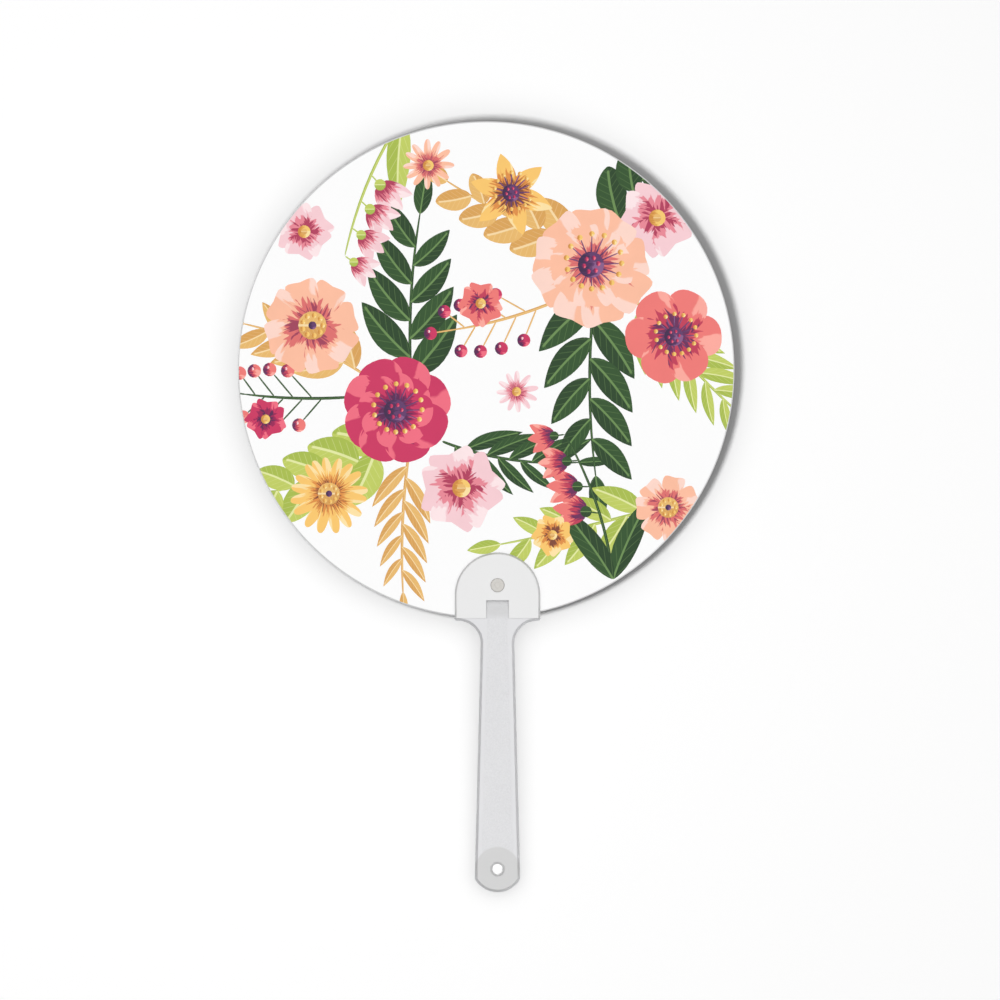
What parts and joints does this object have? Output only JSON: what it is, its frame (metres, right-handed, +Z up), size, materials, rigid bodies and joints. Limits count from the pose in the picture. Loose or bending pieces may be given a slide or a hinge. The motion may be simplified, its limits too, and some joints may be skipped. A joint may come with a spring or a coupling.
{
  "type": "round hand fan",
  "caption": "Round uchiwa fan: a flat paper leaf on a hidden rib frame, riveted into the domed head of a slim moulded handle with a raised rim and a lanyard hole.",
  "frame": {"origin": "middle of the grip, on the handle's axis and halfway through its thickness, 50 mm above the handle's lower end", "axes": "+Z up the handle towards the leaf, -Y towards the printed front of the leaf, +X to the right as seen from the front"},
  "size_m": [0.18, 0.0042, 0.2795],
  "materials": {
    "handle_plastic": "milky white moulded plastic, finely grained in the stem's tray and smooth on rim and land",
    "clip_plastic": "milky white moulded plastic, smooth satin",
    "stud_nylon": "natural nylon, warm grey, satin",
    "printed_paper": "white coated paper with a floral print in warm and green inks",
    "rib_plastic": "white moulded plastic",
    "back_paper": "white coated paper, plain"
  },
  "bodies": {
    "root": {"handle_body": "handle_plastic", "front_clip": "clip_plastic", "clip_stud": "stud_nylon", "leaf_front": "printed_paper", "rib_frame": "rib_plastic", "leaf_back": "back_paper"}
  },
  "joints": []
}
